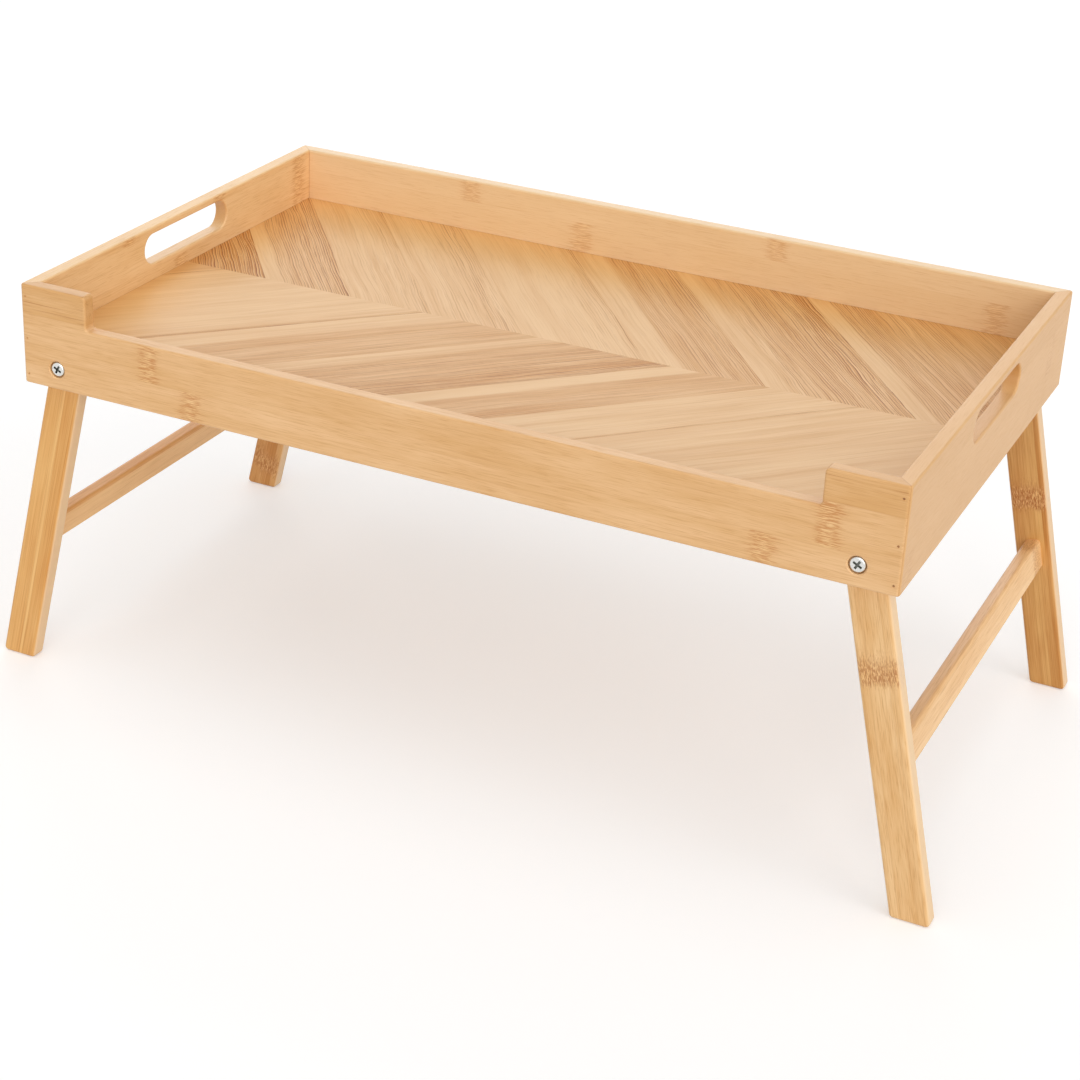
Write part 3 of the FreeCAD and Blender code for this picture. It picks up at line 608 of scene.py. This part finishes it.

# the chevron floor: where the saw lines meet the seam, in metres along it, and each strip's looks
# from its left saw line (0) to its right one (1), as stops of (share, tone, streaks). "lean" is how
# far a saw line moves to the left for each metre away from the seam. Along the back and the left
# rail the grain gets painted shade, tinted warm like light bounced off the rails; its two pairs of
# places, in millimetres, are where it starts and where it is at its fullest
floorVeneer = {
    "pale": colour(231, 192, 145),
    "warm": colour(199, 140, 76),
    "dark": colour(144, 78, 28),
    "light": colour(239, 203, 155),
    # the warm tint of the painted shade by the rails
    "railShade": (0.98, 0.87, 0.62, 1),
    "railShadeBack": (65.0, 141.5),
    "railShadeLeft": (-185.0, -241.5),
    "gloss": 0.3,
    "ringPitch": 1.9,
    "grainDepth": 0.0001,
    "halves": {
        "back": {
            "lean": 0.7803,
            "seed": 15.606,
            "cuts": (-0.2555, -0.1875, -0.13, -0.0775, -0.0175, 0.055, 0.125, 0.209, 0.268, 0.322, 0.38),
            "looks": (
                ((0, 0.7, 0.85), (0.6, 0.9, 1.0), (1, 1.0, 1.0)),
                ((0, 0.1, 0.05), (0.17, 0.15, 0.1), (0.22, 0.46, 0.6), (1, 0.57, 0.85)),
                ((0, 0.2, 0.15), (0.5, 0.15, 0.25), (0.92, 0.25, 0.3), (0.97, 0.42, 0.6)),
                ((0, 0.15, 0.2), (0.6, 0.2, 0.3), (0.8, 0.3, 0.65), (1, 0.15, 0.1)),
                ((0, 0.08, 0.05), (0.5, 0.1, 0.1), (0.9, 0.2, 0.35), (0.97, 0.38, 0.6)),
                ((0, 0.12, 0.05), (0.3, 0.15, 0.15), (0.34, 0.46, 0.4), (1, 0.57, 0.7)),
                ((0, 0.1, 0.05), (0.16, 0.15, 0.1), (0.2, 0.46, 0.5), (0.75, 0.5, 0.8), (1, 0.74, 1.0)),
                ((0, 0.08, 0.0), (0.2, 0.12, 0.1), (0.24, 0.48, 0.65), (1, 0.48, 0.6)),
                ((0, 0.3, 0.2), (0.1, 0.46, 0.5), (1, 0.46, 0.5)),
                ((0, 0.4, 0.3), (1, 0.55, 0.6)),
            ),
        },
        "front": {
            "lean": 0.9697,
            "seed": 19.394,
            "cuts": (-0.285, -0.217, -0.15, -0.0825, -0.01, 0.07, 0.128, 0.179, 0.243, 0.31, 0.37),
            "looks": (
                ((0, 0.6, 0.3), (1, 0.3, 0.3)),
                ((0, 0.75, 0.9), (0.04, 0.15, 0.1), (1, 0.12, 0.1)),
                ((0, 0.1, 0.05), (0.6, 0.1, 0.1), (0.93, 0.2, 0.2), (0.97, 0.75, 0.9)),
                ((0, 0.12, 0.05), (0.28, 0.12, 0.1), (0.34, 0.53, 0.35), (1, 0.57, 0.5)),
                ((0, 0.2, 0.1), (0.14, 0.25, 0.2), (0.2, 0.6, 0.55), (0.6, 0.68, 0.7), (1, 0.88, 1.0)),
                ((0, 0, 0.0), (0.26, 0.05, 0.0), (0.32, 0.57, 0.4), (1, 0.6, 0.5)),
                ((0, 0.15, 0.1), (0.93, 0.15, 0.15), (0.97, 0.68, 0.8)),
                ((0, 0.15, 0.1), (1, 0.15, 0.15)),
                ((0, 0.15, 0.2), (1, 0.12, 0.1)),
                ((0, 0.25, 0.3), (1, 0.2, 0.2)),
            ),
        },
    },
}


def makeStripLook(tree, share, stops):  # tone in red, streaks in green
    node = addNode(tree, "ShaderNodeValToRGB", {"Fac": share})
    marks = node.color_ramp.elements
    while len(marks) < len(stops):
        marks.new(0.5)
    for mark, (position, tone, streaks) in zip(marks, stops):
        mark.position = position
        mark.color = (tone, streaks, 0, 1)
    red, green, _ = addNode(tree, "ShaderNodeSeparateColor", {0: node.outputs[0]}).outputs
    return red, green


def makeStrip(name, half, number):
    left, right = half["cuts"][number:number + 2]
    material, tree, shader = newMaterial("veneer_" + name)
    inStrip = placeGroup(tree, stripPlace, {
        "Vector": boardPlace(tree, "xyz", (left, 0, 0)),
        "Lean": half["lean"],
        "Width": (right - left) / millimetre,
    })
    tone, streaks = makeStripLook(tree, inStrip["Share"], half["looks"][number])
    grain = placeGroup(tree, veneerGrain, {
        "Across": inStrip["Across"],
        "Along": inStrip["Along"],
        "Tone": tone,
        "Streaks": streaks,
        "Ring Pitch": floorVeneer["ringPitch"],
        "Seed": half["seed"] + number,
        "Pale": floorVeneer["pale"],
        "Warm": floorVeneer["warm"],
        "Dark": floorVeneer["dark"],
        "Light": floorVeneer["light"],
    })
    # painted shade along the back and the left rail, tinted warm like light bounced off them, multiplied
    # over the grain
    x, y, _ = separate(tree, boardPlace(tree, "xyz"))
    alongBack = smoothStep(tree, y, *floorVeneer["railShadeBack"])
    alongLeft = smoothStep(tree, x, *floorVeneer["railShadeLeft"])
    railShadeShare = maths(tree, "MAXIMUM", alongBack, alongLeft)
    painted = mixColour(tree, railShadeShare, grain["Color"], floorVeneer["railShade"], "MULTIPLY")
    shader.inputs["Specular IOR Level"].default_value = floorVeneer["gloss"]
    finishWith(tree, shader, grain, floorVeneer["grainDepth"], painted)
    dress(name, material)


def makeFloorVeneer():
    for side, half in floorVeneer["halves"].items():
        for number in range(len(half["looks"])):
            makeStrip(f"{side}_veneer_strip_{number + 1:02d}", half, number)


makeFloorVeneer()
print("chevron floor done")

# the sheets under the chevron
sheets = {
    "tone": 0.35,
    "streaks": 0.25,
    "seed": 3.0,
    "grainDepth": 0.0001,
    "pieces": {
        "panel_core": {
            "pale": colour(150, 112, 76), "warm": colour(122, 88, 58), "dark": colour(92, 64, 42),
        },
        "panel_back_veneer": {
            "pale": colour(214, 172, 122), "warm": colour(192, 144, 94), "dark": colour(150, 100, 58),
        },
    },
}


def makeSheets():
    for name, sheet in sheets["pieces"].items():
        material, tree, shader = newMaterial(name + "_sheet")
        along, across, _ = separate(tree, boardPlace(tree, "xyz"))
        grain = placeGroup(tree, veneerGrain, {
            "Across": across,
            "Along": along,
            "Tone": sheets["tone"],
            "Streaks": sheets["streaks"],
            "Seed": sheets["seed"],
            "Pale": sheet["pale"],
            "Warm": sheet["warm"],
            "Dark": sheet["dark"],
            "Light": sheet["pale"],
        })
        finishWith(tree, shader, grain, sheets["grainDepth"])
        dress(name, material)


makeSheets()
print("floor sheets done")

# screws, inserts, brads, filler, washers and dowels: each finish is spots of noise between two
# colours, on the pieces whose names have its ending. The filler comes after the brads, because it
# takes one corner's over. A screw head's face is headFace away from the tray's middle
hardware = {
    "spotScale": 900.0,
    "spotDetail": 3.0,
    "spotDepth": 0.00003,
    "roughnessSwing": 0.2,
    "headFace": 0.1494,
    "recessReach": 0.0028,
    "recessDepths": (0.00012, 0.00072),
    # the colour of the painted shade in the cross recess
    "recess": colour(100, 102, 96),
    "finishes": {
        "zinc_plate": {
            "bright": colour(236, 236, 232), "dull": colour(202, 202, 198),
            "roughness": 0.28, "metallic": 1.0, "ending": "_screw",
        },
        "insert_alloy": {
            "bright": colour(150, 150, 148), "dull": colour(202, 202, 198),
            "roughness": 0.5, "metallic": 1.0, "ending": "_insert",
        },
        "brad_wire": {
            "bright": colour(186, 136, 90), "dull": colour(150, 104, 66),
            "roughness": 0.6, "metallic": 0.2, "ending": "_brads",
        },
        "wood_filler": {
            "bright": colour(218, 170, 114), "dull": colour(208, 160, 104),
            "roughness": 0.6, "metallic": 0.0, "ending": "front_left_corner_brads",
        },
        "washer_nylon": {
            "bright": colour(224, 218, 204), "dull": colour(212, 206, 190),
            "roughness": 0.5, "metallic": 0.0, "ending": "_washer",
        },
        "dowel_wood": {
            "bright": colour(214, 176, 128), "dull": colour(190, 148, 100),
            "roughness": 0.6, "metallic": 0.0, "ending": "_dowels",
        },
    },
}


def paintRecessShade(tree, painted):  # the cross recess is painted dark: painted shade in the hole
    x, y, z = separate(tree, coordinates(tree, "Object"))
    pivotX, pivotZ = legs["pivot"]
    sideways = maths(tree, "SUBTRACT", maths(tree, "ABSOLUTE", x), pivotX)
    upwards = maths(tree, "SUBTRACT", z, pivotZ)
    upwards = maths(tree, "MULTIPLY", upwards, upwards)
    fromAxis = maths(tree, "SQRT", maths(tree, "MULTIPLY_ADD", sideways, sideways, upwards))
    nearAxis = maths(tree, "LESS_THAN", fromAxis, hardware["recessReach"])
    rim, bottom = [hardware["headFace"] - depth for depth in hardware["recessDepths"]]
    inside = smoothStep(tree, maths(tree, "ABSOLUTE", y), rim, bottom)
    inside = maths(tree, "MULTIPLY", inside, nearAxis)
    return mixColour(tree, inside, painted, hardware["recess"])


def makeFinish(name, finish):
    material, tree, shader = newMaterial(name)
    spots = addNode(tree, "ShaderNodeTexNoise", {
        "Vector": coordinates(tree, "Object"),
        "Scale": hardware["spotScale"],
        "Detail": hardware["spotDetail"],
    }).outputs[0]
    painted = mixColour(tree, spots, finish["dull"], finish["bright"])
    if finish["ending"] == "_screw":
        # painted shade in the screw head's cross recess
        painted = paintRecessShade(tree, painted)
    roughness = swung(tree, spots, hardware["roughnessSwing"], finish["roughness"])
    tree.links.new(painted, shader.inputs["Base Color"])
    tree.links.new(roughness, shader.inputs["Roughness"])
    tree.links.new(bump(tree, spots, hardware["spotDepth"]), shader.inputs["Normal"])
    shader.inputs["Metallic"].default_value = finish["metallic"]
    return material


def makeHardware():
    for name, finish in hardware["finishes"].items():
        material = makeFinish(name, finish)
        for piece in nodes:
            if piece.endswith(finish["ending"]):
                dress(piece, material)


makeHardware()
print("hardware done")

# the stage: a white floor that keeps the shadow, white all round, and soft light at a plain level
studio = {
    "floorReach": 30.0,
    "floorColour": (0.8, 0.8, 0.8, 1),
    "floorGlow": 0.3,
    "ambient": 0.5,
    "suns": {
        "top": {"aim": (0.0, 0.2, -1.0), "strength": 0.55, "spread": 60},
        "back": {"aim": (0.39, -0.82, -0.43), "strength": 0.55, "spread": 40},
        "front": {"aim": (-0.25, 0.95, -0.28), "strength": 1.1, "spread": 40},
        "right": {"aim": (-0.85, 0.25, -0.60), "strength": 0.48, "spread": 45},
        "low": {"aim": (-0.98, 0.20, -0.12), "strength": 0.42, "spread": 20},
    },
}


def directShare(tree):  # 1 for rays that come from the camera, off gloss or through glass
    rays = addNode(tree, "ShaderNodeLightPath").outputs
    direct = maths(tree, "MAXIMUM", rays["Is Camera Ray"], rays["Is Glossy Ray"])
    return maths(tree, "MAXIMUM", direct, rays["Is Transmission Ray"])


def makeFloor():
    reach = studio["floorReach"]
    corners = [(-reach, -reach, 0), (reach, -reach, 0), (reach, reach, 0), (-reach, reach, 0)]
    mesh = bpy.data.meshes.new("stage_floor")
    mesh.from_pydata(corners, [], [(0, 1, 2, 3)])
    floor = bpy.data.objects.new("stage_floor", mesh)
    bpy.context.scene.collection.objects.link(floor)
    material, tree, shader = newMaterial("stage_white")
    shader.inputs["Base Color"].default_value = studio["floorColour"]
    shader.inputs["Roughness"].default_value = 1.0
    shader.inputs["Specular IOR Level"].default_value = 0.0
    strength = maths(tree, "MULTIPLY", directShare(tree), studio["floorGlow"])
    glow = addNode(tree, "ShaderNodeEmission", {"Strength": strength})
    both = addNode(tree, "ShaderNodeAddShader", {0: shader.outputs[0], 1: glow.outputs[0]})
    tree.links.new(both.outputs[0], tree.nodes["Material Output"].inputs["Surface"])
    mesh.materials.append(material)


def makeWorld():
    world = bpy.data.worlds.new("studio")
    world.use_nodes = True
    bpy.context.scene.world = world
    tree = world.node_tree
    ambient = tree.nodes["Background"]
    ambient.inputs["Color"].default_value = white
    ambient.inputs["Strength"].default_value = studio["ambient"]
    backdrop = addNode(tree, "ShaderNodeBackground", {"Color": white, "Strength": 1.0})
    inputs = {0: directShare(tree), 1: ambient.outputs[0], 2: backdrop.outputs[0]}
    mixed = addNode(tree, "ShaderNodeMixShader", inputs)
    tree.links.new(mixed.outputs[0], tree.nodes["World Output"].inputs["Surface"])


def makeSuns():
    for name, values in studio["suns"].items():
        light = bpy.data.lights.new("sun_" + name, "SUN")
        light.energy = values["strength"]
        light.angle = math.radians(values["spread"])
        lamp = bpy.data.objects.new("sun_" + name, light)
        lamp.rotation_mode = "QUATERNION"
        lamp.rotation_quaternion = Vector(values["aim"]).to_track_quat("-Z", "Y")
        bpy.context.scene.collection.objects.link(lamp)


makeFloor()
makeWorld()
makeSuns()
bpy.context.scene.view_settings.view_transform = "Standard"
print("stage and light done")

# the camera, in metres: its place and lens come from a fit to the object's corners
view = {
    "place": (0.4971, -1.1099, 0.6919),
    "aim": (-0.0223, -0.0157, 0.12),
    "roll": 2.34,
    "sensor": 36.0,
    "lens": 78.3,
    "shift": (0.037, -0.0505),
}


def makeCamera():
    data = bpy.data.cameras.new("photo_camera")
    data.sensor_width = view["sensor"]
    data.lens = view["lens"]
    data.shift_x, data.shift_y = view["shift"]
    camera = bpy.data.objects.new("photo_camera", data)
    bpy.context.scene.collection.objects.link(camera)
    forward = (Vector(view["aim"]) - Vector(view["place"])).normalized()
    level = forward.cross(Vector((0, 0, 1))).normalized()
    lift = level.cross(forward)
    roll = math.radians(view["roll"])
    right = level * math.cos(roll) + lift * math.sin(roll)
    up = lift * math.cos(roll) - level * math.sin(roll)
    turned = Matrix((right, up, -forward)).transposed()
    camera.matrix_world = Matrix.Translation(view["place"]) @ turned.to_4x4()
    bpy.context.scene.camera = camera


makeCamera()
print("camera done")
